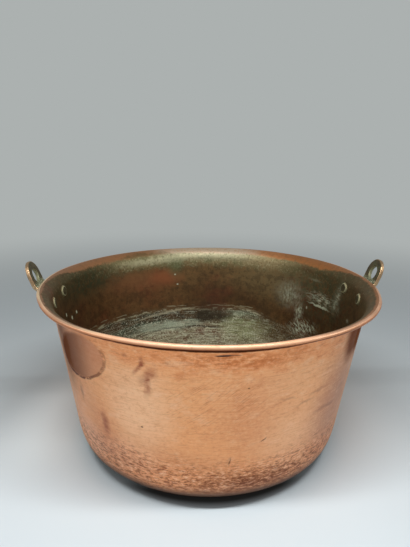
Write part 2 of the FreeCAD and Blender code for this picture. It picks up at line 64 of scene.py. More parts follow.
class Value:
    """What a node gives out, so that finishes can be worked out with + - and *."""

    def __init__(self, nodes, socket):
        self.nodes, self.socket = nodes, socket

    def math(self, operation, *others):
        inputs = dict(enumerate((self, *others)))
        return self.nodes.add("Math", {"operation": operation}, inputs)

    def __add__(self, other):
        return self.math("ADD", other)

    def __sub__(self, other):
        return self.math("SUBTRACT", other)

    def __mul__(self, other):
        return self.math("MULTIPLY", other)

    def __rsub__(self, other):
        return (self * -1).math("ADD", other)

    __radd__ = __add__
    __rmul__ = __mul__

    def root(self):
        return self.math("SQRT")

    def size(self):
        return self.math("ABSOLUTE")

    def most(self, other):
        return self.math("MAXIMUM", other)

    def least(self, other):
        return self.math("MINIMUM", other)

    def ease(self, start, end):
        """0 up to start and 1 from end on, smooth between. It runs down where end is less."""
        settings = {"interpolation_type": "SMOOTHSTEP"}
        inputs = {"Value": self, "From Min": start, "From Max": end}
        if start > end:
            inputs.update({"From Min": end, "From Max": start, "To Min": 1, "To Max": 0})
        return self.nodes.add("MapRange", settings, inputs)

    def band(self, low, high, soft):
        """1 between two values, fading out over soft beyond each."""
        return self.ease(low - soft, low) * self.ease(high + soft, high)


class Nodes:
    """The nodes of one material, or of the surroundings."""

    def __init__(self, holder):
        holder.use_nodes = True
        self.holder = holder
        holder.node_tree.nodes.clear()

    def add(self, kind, settings, inputs, output=0):
        """Add a node: its settings first, then its sockets' values or links."""
        tree = self.holder.node_tree
        made = tree.nodes.new("ShaderNode" + kind)
        for name, value in settings.items():
            setattr(made, name, value)
        for name, value in inputs.items():
            if isinstance(value, Value):
                tree.links.new(value.socket, made.inputs[name])
            else:
                made.inputs[name].default_value = value
        return Value(self, made.outputs[output]) if made.outputs else None


class Finish(Nodes):
    """One material. Its places are millimetres from the middle of the pan's bottom, and
    along is the distance round the wall from its front or back, to the picture's right."""

    def __init__(self, name, face="front"):
        super().__init__(bpy.data.materials.new(name))
        metres = self.add("TexCoord", {}, {}, "Object")
        self.place = self.add("VectorMath", {"operation": "SCALE"}, {0: metres, "Scale": 1000})
        self.x, self.y, self.z = self.parted(self.place)
        self.reach = (self.x * self.x + self.y * self.y).root()
        self.along = self.x.math("ARCTAN2", self.y * (-1 if face == "front" else 1)) * WALL_REACH
        self.wall = self.joined(self.along, self.z)

    def parted(self, place):
        return (self.add("SeparateXYZ", {}, {0: place}, axis) for axis in "XYZ")

    def joined(self, *parts):
        return self.add("CombineXYZ", {}, dict(enumerate(parts)))

    def lay(self, colour, *coats):
        """Coats of (share, colour) over a colour, one after another."""
        for share, coat in coats:
            colour = self.add("Mix", {"data_type": "RGBA"}, {0: share, 6: colour, 7: coat}, 2)
        return colour

    def scaled(self, place, scale, shift=(0, 0, 0)):
        inputs = {0: place, 1: scale, 2: shift}
        return self.add("VectorMath", {"operation": "MULTIPLY_ADD"}, inputs)

    def swung(self, place, angle, centre=(0, 0, 0), axis="Z"):
        inputs = {"Vector": place, "Center": centre, "Angle": radians(angle)}
        return self.add("VectorRotate", {"rotation_type": axis + "_AXIS"}, inputs)

    def grain(self, wide, high, detail=2, rough=0.5, seed=0, place=None):
        """Noise about 0.5 whose shapes are so wide and so high."""
        place = self.place if place is None else place
        place = self.scaled(place, (1 / wide, 1 / wide, 1 / high), (seed, 3 * seed, 7 * seed))
        inputs = {"Vector": place, "Scale": 1, "Detail": detail, "Roughness": rough}
        return self.add("TexNoise", {}, inputs)

    def specks(self, spacing, radius, seed=0):
        """Small round spots, one in each cell."""
        place = self.scaled(self.place, (1 / spacing,) * 3, (seed, seed, seed))
        near = self.add("TexVoronoi", {}, {"Vector": place, "Scale": 1})
        return near.ease(radius / spacing, radius / spacing * 0.6)

    def from_rivet(self):
        """How far a place is from the middle of the nearest rivet's head."""
        mirrored = self.joined(self.x.size(), self.y.size(), self.z)
        inputs = {0: mirrored, 1: RIVET_HEAD}
        return self.add("VectorMath", {"operation": "DISTANCE"}, inputs, 1)

    def oval(self, along, level, wide, high, tilt=0, on=None):
        """How far a place on the wall is from a middle, where 1 is the edge of an oval."""
        wall = self.wall if on is None else on
        if tilt:
            wall = self.swung(wall, tilt, (along, level, 0))
        wall = self.scaled(wall, (1 / wide, 1 / high, 0), (-along / wide, -level / high, 0))
        return self.add("VectorMath", {"operation": "LENGTH"}, {0: wall}, 1)

    def patch(self, along, level, wide, high, tilt=0, soft=0.5, on=None):
        """1 inside an oval on the wall, fading out across its edge."""
        return self.oval(along, level, wide, high, tilt, on).ease(1 + soft, 1 - soft)

    def spots(self, soft, on, *ovals):
        """Patches added up, each from its share, along, level, wide, high and tilt."""
        return sum(self.patch(*oval, soft, on) * share for share, *oval in ovals)

    def ragged(self, size, much, seed=0):
        """The wall's places pushed about, so that a patch on them has an uneven edge."""
        noises = [self.grain(size, size, 3, 0.6, seed + more) for more in (0, 5)]
        aside, up = ((each - 0.5) * (2 * much) for each in noises)
        return self.joined(self.along + aside, self.z + up)

    def done(self, colour, metallic, roughness, height, specular=0.5, matt=None):
        """The shader, with its relief in millimetres. Nothing shines where matt is 1."""
        relief = self.add("Bump", {}, {"Strength": 1, "Distance": MM, "Height": height})
        both = {"Base Color": colour, "Normal": relief}
        shine = {"Metallic": metallic, "Roughness": roughness, "Specular IOR Level": specular}
        surface = self.add("BsdfPrincipled", {}, both | shine)
        if matt is not None:
            no_shine = {"Roughness": 1, "Specular IOR Level": 0}
            dull = self.add("BsdfPrincipled", {}, both | no_shine)
            surface = self.add("MixShader", {}, {0: matt, 1: surface, 2: dull})
        self.add("OutputMaterial", {}, {0: surface})
        return self.holder


def polished_copper():
    """The outside and the rolled rim: rubbed bright round and round for years, scored and
    browner along the bottom corner, with stains that the rubbing has not reached. Painted
    shade darkens the bottom edge, the crease under the bead and the left side, the dark lobes
    on the right are painted reflections, and the bead carries a painted highlight."""
    f = Finish("polished_copper")
    uneven = f.ragged(14, 6)
    crumbled = f.ragged(6, 3, 4)
    mottle = f.grain(22, 12, 5, 0.6, 2)
    blots = f.grain(11, 5, 4, 0.65, 12)
    rubbed = f.grain(40, 1.5, 3, 0.6, 4)
    fine = f.grain(8, 1.1, 3, 0.6, 5)
    scored = f.grain(13, 2.2, 5, 0.7, 6)
    crazed = f.grain(7, 3.0, 4, 0.7, 8)
    dappled = f.grain(4, 3, 4, 0.7, 15)
    swept = f.grain(30, 1.7, 3, 0.6, 7, f.swung(f.place, 38, (0, 0, 120), "Y"))
    slanting = f.grain(26, 1.6, 3, 0.6, 13, f.swung(f.place, 12, (0, 0, 120), "Y"))
    corner = 66 + f.along.size().ease(20, 120) * 9
    low = (f.z - corner + (mottle - 0.5) * 50).ease(25, -18)
    darkest = (
        f.patch(50, 41, 66, 16, 0, 0.9, uneven) + f.patch(-128, 58, 44, 14, 0, 0.8, uneven) * 0.2
    ).least(1)
    lowest_shade = f.z.ease(46, 20)
    soot_and_shade = (f.z + (blots - 0.5) * 14).ease(21, 11)
    high = (f.z + (mottle - 0.5) * 30).ease(186, 214)
    bead = f.z.ease(233, 234.5) * f.reach.ease(232, 234)
    arcs = f.patch(-6, 158, 56, 34, 0, 0.6)

    colour = f.lay(
        tint(243, 173, 121),
        (f.patch(-100, 138, 38, 58, 0, 0.7, uneven), tint(252, 196, 152)),
        (f.patch(46, 142, 46, 56, 0, 0.7, uneven) * 0.9, tint(228, 157, 110)),
        (f.patch(108, 92, 56, 42, 0, 0.7, uneven), tint(240, 182, 138)),
        (f.patch(88, 180, 44, 56, 0, 0.8, uneven) * 0.4, tint(255, 196, 148)),
        (f.patch(-144, 66, 50, 22, 0, 0.8, uneven) * 0.5, tint(252, 196, 160)),
        (f.patch(-196, 62, 30, 22, 0, 0.8, uneven) * 0.6, tint(250, 204, 172)),
        (f.patch(-55, 80, 84, 16, 14, 0.8, uneven) * 0.3, tint(206, 142, 102)),
        (f.patch(166, 122, 40, 66, 0, 0.7, uneven) * 0.75, tint(194, 136, 106)),
        (high * 0.8, tint(240, 158, 104)),
        (high * f.along.band(-50, 440, 60) * mottle.ease(0.5, 0.64) * 0.5, tint(210, 124, 74)),
        (f.patch(4, 213, 66, 9, 0, 0.8, uneven) * blots.ease(0.42, 0.56) * 0.7, tint(194, 108, 58)),
        (mottle.ease(0.54, 0.74) * 0.3, tint(200, 120, 78)),
        (mottle.ease(0.46, 0.3) * 0.3, tint(250, 202, 164)),
        (blots.ease(0.56, 0.72) * (0.14 + high * 0.3), tint(170, 96, 60)),
        (blots.ease(0.44, 0.3) * (0.12 + high * 0.2), tint(252, 206, 166)),
        (rubbed.ease(0.5, 0.7) * 0.18, tint(178, 104, 66)),
        (rubbed.ease(0.46, 0.3) * 0.25, tint(252, 204, 162)),
        (fine.ease(0.56, 0.74) * 0.2, tint(170, 100, 66)),
        (dappled.ease(0.53, 0.66) * 0.26, tint(196, 112, 76)),
        (dappled.ease(0.47, 0.34) * 0.26, tint(252, 208, 164)),
        (swept.ease(0.54, 0.64) * arcs * 0.36, tint(170, 98, 62)),
        (slanting.ease(0.58, 0.7) * 0.22, tint(176, 104, 68)),
        (low * 0.3, tint(222, 150, 110)),
        (low * scored.ease(0.5, 0.6) * 0.5, tint(176, 104, 74)),
        (low * crazed.ease(0.52, 0.62) * 0.65, tint(114, 58, 38)),
        (low * scored.ease(0.57, 0.67) * 0.75, tint(84, 42, 28)),
        (low * crazed.ease(0.47, 0.37) * 0.65, tint(252, 210, 176)),
        (darkest * blots.ease(0.36, 0.56) * 0.6, tint(136, 78, 56)),
        (darkest * crazed.ease(0.42, 0.56) * 0.65, tint(100, 52, 36)),
        # painted shade: darker and browner towards the bottom edge, darkest in its last 20 mm
        (lowest_shade * 0.65, tint(156, 104, 78)),
        (f.z.ease(37, 20) * 0.8, tint(98, 68, 50)),
    )

    # a dark-edged oval high on the left, deepest along its lower side, with painted shade inside it
    # towards the left and painted shade at the pan's left edge
    dark_edged_oval = f.oval(-187, 187, 53, 30, -18.8, f.ragged(26, 3, 3))
    edge = dark_edged_oval.band(0.96, 1.01, 0.06) * f.z.ease(214, 204)
    shaded = dark_edged_oval.ease(1.05, 0.85) * f.along.ease(-150, -200)
    deep = f.patch(-205, 164, 54, 24, -15, 0.5)
    # painted dark reflections: two dark, matt lobes on the right below the rim
    reflected_lobes = (
        f.patch(184, 203, 20, 27, -14, 0.5, f.ragged(10, 4, 8))
        + f.patch(214, 202, 16, 30, 0, 0.5)
    )
    left_shade = f.patch(-230, 188, 24, 48, 0, 0.7, uneven)
    left_foot = f.patch(-150, 70, 40, 20, 0, 0.8, uneven)
    larger = ((0.8, -82, 189, 5, 12, 42), (0.7, -83.5, 175, 3.4, 11, 3), (0.9, -154, 103, 5, 13, 0))
    smaller = ((0.9, -88, 206, 2, 5.5, 4), (0.9, -93, 196, 2, 8, 42), (0.6, -107, 211, 3, 2.4, 0))
    stains = f.spots(0.9, uneven, *larger) + f.spots(0.9, crumbled, *smaller)
    stains = stains + f.patch(-198, 132, 4, 10, 0, 0.7, uneven) * 0.6
    streaks = f.spots(
        0.9, uneven,
        (1, 140, 123, 16, 2.4, -4), (1, 122, 154, 10, 2, -6), (1, 158, 122, 12, 2.2, 0),
        (1, 104, 144, 12, 1.8, -4), (1, 76, 156, 10, 1.6, 6), (1, 180, 138, 9, 2, 0),
    )
    slit = f.patch(-2, 220.6, 8, 0.9, 0, 0.3) + f.patch(8, 221.4, 8, 0.5, 4, 0.5) * 0.6
    marks = (
        f.spots(0.4, None, (1, -95.5, 118, 1.5, 0.9, 0), (0.8, 26.6, 179, 1.2, 0.8, 0))
        + f.patch(52, 105, 3.4, 0.8, -40, 0.5, crumbled)
        + f.patch(11, 78, 0.8, 5, 12, 0.6, crumbled) * 0.7
    )
    colour = f.lay(
        colour,
        (dark_edged_oval.ease(1.02, 0.9) * 0.62, tint(198, 130, 96)),
        (shaded * 0.75, tint(130, 78, 52)),
        (left_shade * 0.75, tint(112, 66, 48)),
        (left_foot * blots.ease(0.42, 0.6) * 0.2, tint(160, 96, 70)),
        (f.patch(-162, 100, 26, 34, 0, 0.8, uneven) * 0.3, tint(196, 120, 84)),
        (edge * blots.ease(0.34, 0.5) * (0.45 + 0.5 * deep), tint(104, 52, 34)),
        (reflected_lobes.least(1) * 0.85, tint(112, 58, 38)),
        (stains * (0.6 + 0.4 * blots.ease(0.4, 0.6)), tint(166, 92, 64)),
        (streaks * 0.32, tint(144, 84, 60)),
        (f.specks(38, 0.8, 3) * 0.6, tint(80, 42, 30)),
        (marks * 0.95, tint(66, 36, 28)),
        (slit, tint(44, 26, 20)),
        # dark and matt under the bottom's edge: soot, and painted shade where the pan meets the
        # floor
        (soot_and_shade * 0.96, tint(22, 18, 16)),
    )
    # The bead's colour holds painted light: a painted highlight on its crown at the left front,
    # painted shade on its lower half and front lower edge, and a painted dark reflection on its top
    # at the back
    crest_dark_reflection = f.y.ease(60, 140) * f.z.ease(237.6, 239)
    rim = f.lay(
        tint(236, 186, 152),
        (f.grain(26, 26, 3, 0.6, 9).ease(0.42, 0.62) * 0.5, tint(226, 172, 132)),
        # painted highlight on the bead's crown at the left front
        (f.z.ease(237.4, 238.8) * f.along.band(-340, -150, 50), tint(255, 222, 182)),
        # painted shade on the bead's lower half
        (f.z.ease(238, 235.6) * 0.85, tint(208, 136, 94)),
        # painted shade on the bead's lower edge at the front
        (f.z.ease(235.9, 234.5) * f.along.size().ease(170, 110), tint(100, 40, 14)),
        # painted dark reflection: the bead's top at the back darker and half matt
        (crest_dark_reflection * 0.75, tint(118, 80, 60)),
        (f.grain(5, 5, 3, 0.6, 11).ease(0.6, 0.72) * 0.3, tint(160, 106, 80)),
        (f.patch(318, 238, 22, 12, 0, 0.5, f.ragged(8, 4, 6)) * 0.7, tint(170, 116, 70)),
    )
    # painted shade: a dark, partly matt line in the crease under the bead across the front
    groove_shade = (f.z + (mottle - 0.5) * 2).ease(223.8, 225.4) * f.along.band(-112, 66, 40)
    colour = f.lay(colour, (groove_shade * 0.95, tint(48, 16, 4)), (bead, rim))
    worn = low * 0.1 + mottle * 0.14 + edge * 0.1 + soot_and_shade * 0.4
    height = rubbed * 0.03 + fine * 0.02 + mottle * 0.12 + scored * low * 0.14 - slit * 0.4
    metallic = 1 - stains * 0.2 - slit * 0.6 - soot_and_shade
    shadowed = reflected_lobes * 0.8 + shaded * 0.5 + left_shade * 0.6
    matt = (shadowed + soot_and_shade + groove_shade * 0.6 + crest_dark_reflection * 0.5).least(1)
    return f.done(colour, metallic, 0.28 + worn + bead * 0.08, height, matt=matt)


def tarnished_copper():
    """The inside: bright only on the flare, khaki to brown down the wall, green towards the
    ears, with a line of scale where the water stood and paler scale below it."""
    f = Finish("tarnished_copper", "back")
    uneven = f.ragged(16, 8)
    torn = f.ragged(7, 4, 2)
    frayed = f.ragged(5, 5, 6)
    cloud = f.grain(70, 60, 3, 0.55)
    mottle = f.grain(16, 12, 5, 0.65, 2)
    fine = f.grain(3.6, 3.6, 4, 0.65, 3)
    speckle = f.grain(2.2, 2.2, 3, 0.6, 8)
    runs = f.grain(5, 70, 4, 0.6, 4)
    rings = f.grain(34, 4.2, 5, 0.65, 5)
    thin_rings = f.grain(26, 1.8, 4, 0.65, 6)
    blots = f.grain(7, 7, 4, 0.65, 12)
    blotchy = blots.ease(0.4, 0.56)
    aside = f.along.size()
    right = f.along.ease(-20, 120) * f.along.ease(640, 480)
    middle = aside.ease(235, 110)

    left_green = f.patch(-235, 213, 70, 24, 0, 0.8, uneven)
    right_green = f.patch(250, 190, 74, 46, 0, 0.8, uneven)
    brown = f.lay(
        tint(94, 66, 37),
        (aside.ease(120, 230), tint(86, 58, 36)),
        (f.patch(-150, 164, 120, 36, 0, 0.7, uneven) * 0.5, tint(116, 68, 42)),
        (f.z.ease(150, 215) * 0.3, tint(128, 106, 70)),
        (f.patch(176, 198, 96, 38, 0, 0.7, uneven) * 0.76, tint(140, 122, 86)),
        (cloud.ease(0.42, 0.6) * 0.4, tint(90, 74, 44)),
        (cloud.ease(0.46, 0.34) * 0.6, tint(112, 60, 40)),
        (mottle.ease(0.46, 0.6) * 0.4, tint(56, 42, 26)),
        (mottle.ease(0.44, 0.34) * 0.35, tint(124, 88, 54)),
        (blots.ease(0.54, 0.66) * 0.4, tint(48, 38, 24)),
        (blots.ease(0.44, 0.34) * 0.3, tint(130, 94, 58)),
        (runs.ease(0.5, 0.68) * 0.16, tint(128, 98, 60)),
        (fine.ease(0.56, 0.7) * 0.3, tint(124, 100, 66)),
        (f.patch(-120, 188, 62, 14, 0, 0.8, uneven) * 0.45, tint(138, 92, 60)),
        (f.patch(-66, 188, 26, 14, 0, 0.8, torn) * 0.6, tint(146, 84, 52)),
        (f.patch(206, 178, 50, 40, 0, 0.8, uneven) * blotchy * 0.5, tint(84, 54, 34)),
        (left_green * (0.25 + 0.5 * blots.ease(0.56, 0.42)), tint(50, 66, 48)),
        (right_green * blots.ease(0.58, 0.44) * 0.7, tint(66, 72, 52)),
        (f.patch(-48, 208, 12, 18, -6, 0.8, torn) * 0.5, tint(82, 98, 66)),
        (f.patch(44, 150, 56, 22, 0, 0.8, uneven) * 0.45, tint(58, 40, 26)),
        (f.patch(128, 126, 30, 20, 0, 0.8, uneven) * 0.35, tint(52, 36, 24)),
    )
    khaki = f.lay(
        tint(148, 138, 100),
        (aside.ease(130, 230), tint(76, 70, 46)),
        (mottle.ease(0.44, 0.6) * 0.7, tint(108, 106, 70)),
        (rings.ease(0.5, 0.62) * 0.4, tint(112, 110, 74)),
        (f.patch(-52, 216, 22, 12, 0, 0.7, uneven) * 0.6, tint(108, 122, 88)),
        (f.patch(-93, 220, 52, 6, 0, 0.8, uneven) * 0.8, tint(186, 180, 144)),
        (f.patch(126, 221, 40, 10, 0, 0.8, uneven) * 0.4, tint(176, 148, 110)),
        (f.patch(-104, 229, 56, 4, 0, 0.6, uneven) * 0.75, tint(104, 96, 64)),
        (f.z.ease(213, 229) * f.patch(14, 226, 74, 24, 0, 0.6, uneven) * 0.6, tint(184, 178, 148)),
        (fine.ease(0.54, 0.66) * 0.5, tint(196, 188, 150)),
        (fine.ease(0.46, 0.36) * 0.5, tint(80, 72, 48)),
    )

    wander = (f.grain(50, 50, 3, 0.6, 7) - 0.5) * 16
    far_right = f.along.ease(104, 168) * f.along.ease(600, 440) * f.reach.ease(70, 130)
    level = f.z + wander + far_right * 14
    under = level.ease(131, 118) * (1 - far_right * 0.5)
    deep = level.ease(112, 76)
    front_brown = f.patch(20, 78, 56, 12, 0, 0.7, uneven)
    left_teal = f.patch(-128, 108, 66, 18, 0, 0.7, uneven)
    scale = f.lay(
        tint(92, 82, 58),
        (rings.ease(0.48, 0.58) * 0.8, tint(122, 120, 94)),
        (rings.ease(0.46, 0.38) * 0.8, tint(56, 44, 30)),
        (deep * 0.75, tint(162, 152, 122)),
        (deep * rings.ease(0.5, 0.6) * 0.8, tint(204, 204, 176)),
        (deep * blots.ease(0.5, 0.62) * 0.55, tint(112, 84, 62)),
        (deep * mottle.ease(0.53, 0.64) * 0.6, tint(122, 84, 64)),
        (front_brown * mottle.ease(0.42, 0.56) * 0.6, tint(118, 78, 60)),
        (f.patch(92, 92, 50, 24, 0, 0.6, uneven) * 0.6, tint(156, 166, 116)),
        (f.patch(88, 118, 34, 7, 0, 0.7, uneven) * 0.5, tint(130, 142, 122)),
        (left_teal * (0.35 + 0.6 * blotchy), tint(70, 92, 74)),
        (f.patch(-30, 108, 60, 6, 4, 0.7, torn) * 0.7, tint(58, 42, 32)),
        (level.band(109, 119, 4) * f.along.band(-440, -20, 34) * 0.85, tint(54, 46, 34)),
        (level.band(92, 101, 5) * f.along.band(-114, -10, 24) * 0.9, tint(164, 174, 152)),
        (f.patch(-152, 106, 34, 13, 0, 0.8, torn) * 0.6, tint(52, 54, 40)),
        (level.band(87, 89, 1.6) * f.along.band(-84, 30, 24) * 0.8, tint(50, 40, 32)),
        (thin_rings.ease(0.52, 0.62) * 0.65, tint(196, 198, 174)),
        (thin_rings.ease(0.46, 0.38) * 0.6, tint(62, 46, 36)),
        (speckle.ease(0.56, 0.64) * 0.75, tint(222, 220, 194)),
        (speckle.ease(0.44, 0.36) * 0.5, tint(70, 54, 40)),
        (f.patch(-52, 113, 56, 6, 4, 0.7, uneven) * 0.4, tint(66, 54, 38)),
        (f.patch(-80, 92, 44, 6, 6, 0.7, uneven) * 0.4, tint(184, 196, 172)),
    )
    patchy = f.grain(20, 9, 3, 0.6, 9).ease(0.46, 0.56)
    line = level.band(124, 125.5, 1.2) + level.band(130.5, 131.5, 0.9) * 0.6
    shade = f.patch(8, 109, 17, 12, 0, 0.5, torn) + f.patch(36, 110, 24, 10, 0, 0.7, frayed)
    shade = shade.least(1) * (0.75 + 0.2 * blotchy)
    inside = f.lay(
        brown,
        (under * (0.55 + 0.45 * deep.most(patchy)), scale),
        (line * patchy * (1 - far_right) * 0.75, tint(176, 170, 140)),
        (f.patch(-38, 124, 40, 1.3, -4, 0.6, torn) * 0.6, tint(170, 160, 130)),
        (f.patch(-84, 118, 50, 1.5, -6, 0.6, torn) * 0.6, tint(176, 168, 140)),
        (f.patch(84, 130, 32, 1.4, 6, 0.6, torn) * 0.6, tint(150, 138, 108)),
        # painted shadow: a dark patch low in the middle of the wall, with softer painted shade
        # above it
        (f.patch(20, 127, 34, 12, 0, 0.9, uneven) * 0.6, tint(70, 48, 32)),
        (shade, tint(52, 44, 30)),
    )
    high = (f.z + (mottle - 0.5) * 26 + (fine - 0.5) * 10).ease(201, 222)
    inside = f.lay(inside, (high * (0.25 + 0.75 * middle), khaki))

    # chalky splashes and wisps on the right, and a few single marks
    flat = f.joined(f.along, 0, f.z)
    level_wisps = f.grain(11, 2.6, 5, 0.7, 10, flat).ease(0.42, 0.6)
    upright_wisps = f.grain(4, 8, 5, 0.75, 11, flat).ease(0.4, 0.62)
    aslant = f.swung(flat, -40, (220, 0, 118), "Y")
    falling_wisps = f.grain(10, 2.4, 5, 0.7, 12, aslant).ease(0.46, 0.62)
    broken = 0.5 + 0.5 * blotchy
    shelf = f.spots(0.9, frayed, (1, 252, 181, 27, 8, 0), (0.7, 293, 196, 5, 20, 12))
    streaming = f.spots(0.9, frayed, (1.6, 220, 120, 26, 10, -14), (0.25, 298, 176, 9, 9, 0))
    plume = f.patch(182, 172, 20, 17, 0, 0.9, frayed) * broken * 0.6
    plume = plume + f.patch(207, 144, 7, 15, 0, 0.9, frayed)
    haze = f.spots(
        0.9, frayed,
        (0.4, 339, 174, 4, 2.4, 0), (0.2, 231, 209, 12, 1.6, 0),
        (0.12, 182, 172, 26, 22, 0), (0.14, 292, 196, 10, 20, 10),
    )
    dots = f.spots(
        0.5, None,
        (1, -47, 192, 1.5, 1.4, 0), (1, -43, 173, 1.8, 1.2, 0), (1, -277, 173, 2.2, 2.6, 0),
        (1, -314, 181, 2, 3, 0), (1, -295, 170, 2, 3, 0), (0.7, 223, 158, 1.6, 2.4, 0),
    )
    chalk = (
        shelf * level_wisps * broken + plume * upright_wisps + streaming * falling_wisps
        + f.patch(251, 168.5, 23, 1.6, 1, 0.6, torn) * 0.9 + haze + dots
    ).least(1)
    inside = f.lay(inside, (chalk * 0.8, tint(194, 200, 174)))

    # verdigris drawn round each rivet's head
    halo = f.from_rivet().band(8.0, 8.4, 0.5) * f.grain(6, 6, 2, 0.6, 9).ease(0.28, 0.42)
    inside = f.lay(inside, (halo * 0.9, tint(178, 174, 140)))

    # the flare, rubbed clean with the rim, widest at the back and chalky in its middle
    ragged_edge = (mottle - 0.5) * 7 + (fine - 0.5) * 4
    on_left = 233 - f.y.ease(0, 110) * 8
    on_right = 233.4 - f.y.ease(0, 110) * 10.4
    clean_from = on_left + (on_right - on_left) * f.x.ease(-60, 60)
    flare = (f.reach - clean_from + ragged_edge).ease(-1.4, 1.8)
    clouded = f.patch(16, 231, 92, 16, 0, 0.35, uneven) * (0.55 + 0.45 * fine.ease(0.36, 0.5))
    bright = f.lay(
        tint(204, 142, 100),
        (mottle.ease(0.45, 0.62) * 0.5, tint(180, 120, 82)),
        (right * 0.5, tint(200, 132, 80)),
        (f.along.band(190, 440, 60) * 0.5, tint(160, 102, 54)),
        (f.along.band(-560, -90, 40) * 0.75, tint(166, 118, 82)),
        (blots.ease(0.5, 0.62) * 0.3, tint(134, 106, 72)),
        (clouded * 0.85, tint(206, 188, 162)),
        (f.patch(-104, 230, 56, 4.5, 0, 0.6, uneven) * 0.75, tint(108, 94, 64)),
        (fine.ease(0.58, 0.7) * 0.45, tint(138, 100, 72)),
    )
    colour = f.lay(inside, (flare, bright))
    metallic = 0.45 + aside.ease(120, 230) * 0.35 - under * 0.2
    metallic = metallic + (1 - metallic) * flare * (0.95 - 0.5 * clouded) - chalk * 0.3
    roughness = 0.55 - flare * 0.15 + chalk * 0.25 + under * 0.15
    height = mottle * 0.22 * (1 - flare) + fine * 0.05 + rings * under * 0.12
    height = height + chalk * 0.1 + halo * 0.2
    return f.done(colour, metallic, roughness, height, 0.2)


def cast_bronze():
    """The ears: dark and greenish on the faces, rubbed to gold along the outer edge, with a
    painted highlight on the hole's wall and pale specks on the foot, partly verdigris and
    partly painted highlight.
    """
    f = Finish("cast_bronze")
    upright = f.swung(f.joined(f.x.size(), f.y, f.z), -EYE_LEAN, EYE, "Y")
    across, side, up = f.parted(upright)
    across, up = across - EYE[0], up - EYE[2]
    above = up.most(0)
    from_eye = (side * side + above * above).root()
    from_hole = (side * side + up * up).root()
    uneven = (f.grain(5, 5, 4, 0.6, 1) - 0.5) * 3
    edge = (from_eye + uneven * 0.4).ease(19.6, 20.6)
    hole = from_hole.ease(11.2, 10.2)
    outside = (across + uneven).ease(0.6, 2.2)
    foot = (up + uneven).ease(-7, -12)
    mottle = f.grain(7, 7, 5, 0.65, 2)
    fine = f.grain(1.6, 1.6, 3, 0.6, 3)
    colour = f.lay(
        tint(86, 74, 46),
        (mottle.ease(0.45, 0.6) * 0.8, tint(60, 54, 34)),
        (f.grain(11, 11, 3, 0.6, 4).ease(0.5, 0.62) * 0.5, tint(90, 100, 66)),
        (fine.ease(0.6, 0.72) * 0.35, tint(150, 132, 90)),
        (outside * 0.6, tint(152, 126, 92)),
        (foot * 0.7, tint(76, 92, 60)),
        # pale specks on the foot: pale verdigris, with a painted highlight where the foot bends
        (foot * fine.ease(0.48, 0.58) * 0.8, tint(206, 208, 178)),
        # painted highlight on the wall of the hole
        (hole * 0.65, tint(150, 150, 118)),
        (edge * 0.75, tint(196, 160, 124)),
    )
    height = mottle * 0.25 + fine * 0.08
    return f.done(colour, 0.55 + edge * 0.4, 0.5 - edge * 0.18 - outside * 0.06, height, 0.4)


def rivet_copper():
    """Inside the pan the heads are as dark as the wall. Outside they are rubbed bright."""
    f = Finish("rivet_copper")
    mottle = f.grain(5, 5, 4, 0.6, 1)
    fine = f.grain(1.5, 1.5, 3, 0.6, 2)
    outside = f.reach.ease(219, 222)
    crust = f.from_rivet().ease(6.1, 6.8) * mottle.ease(0.3, 0.44) * (1 - outside)
    rubbed = f.lay(tint(196, 128, 90), (mottle.ease(0.5, 0.65) * 0.5, tint(122, 78, 56)))
    colour = f.lay(
        tint(60, 52, 32),
        (mottle.ease(0.45, 0.62), tint(84, 76, 50)),
        (fine.ease(0.58, 0.7) * 0.3, tint(140, 140, 106)),
        (crust * 0.75, tint(164, 160, 126)),
        (outside, rubbed),
    )
    metallic, roughness = 0.2 + outside * 0.75, 0.65 - outside * 0.27
    return f.done(colour, metallic, roughness, mottle * 0.2 + fine * 0.05, 0.2)


def drawn_iron():
    """The wire in the rim, with a little rust."""
    f = Finish("drawn_iron")
    rust = f.grain(6, 6, 4, 0.6, 1)
    colour = f.lay(tint(70, 62, 58), (rust.ease(0.45, 0.65), tint(104, 66, 46)))
    return f.done(colour, 0.8 - rust * 0.4, 0.45 + rust * 0.3, rust * 0.1)


def pale_floor():
    """Pale cloth with painted light and shade: lighter beside the pan in front, greyer behind it
    and towards the right as painted fall-off of the light, and a painted contact shadow in
    front of the pan's bottom. From a step away it has the background's colour."""
    f = Finish("pale_floor")
    beside = f.reach.ease(350, 250) * f.y.ease(-150, -30)
    # The cloth's colour holds painted light: greyer behind and to the right as painted fall-off of
    # the light, and lighter beside the pan in front
    cloth = f.lay(
        tint(222, 231, 235),
        (f.y.ease(-190, 160), tint(192, 201, 204)),
        (beside * (0.3 + 0.7 * f.x.ease(80, -120)), tint(240, 250, 253)),
        (f.x.ease(150, 400) * 0.25, tint(184, 192, 195)),
        # painted contact shadow in front of the pan's bottom
        (f.reach.ease(182, 170) * f.y.ease(-121, -150), tint(102, 100, 98)),
    )
    near = f.add("BsdfDiffuse", {}, {"Color": cloth, "Roughness": 1})
    far = f.add("Emission", {}, {"Color": BACKGROUND, "Strength": 1})
    share = f.reach.ease(500, 1900)
    f.add("OutputMaterial", {}, {0: f.add("MixShader", {}, {0: share, 1: near, 2: far})})
    return f.holder


# ---- the pan --------------------------------------------------------------------

# The sheet's gauge, the radius inside the rolled edge and its radius outside.
SHEET = 1.2 * MM
CURL = 1.85 * MM
BEAD = CURL + SHEET
RIM_RADIUS = PAN_HEIGHT = 240 * MM
BEAD_MIDDLE = (RIM_RADIUS - BEAD, PAN_HEIGHT - BEAD)
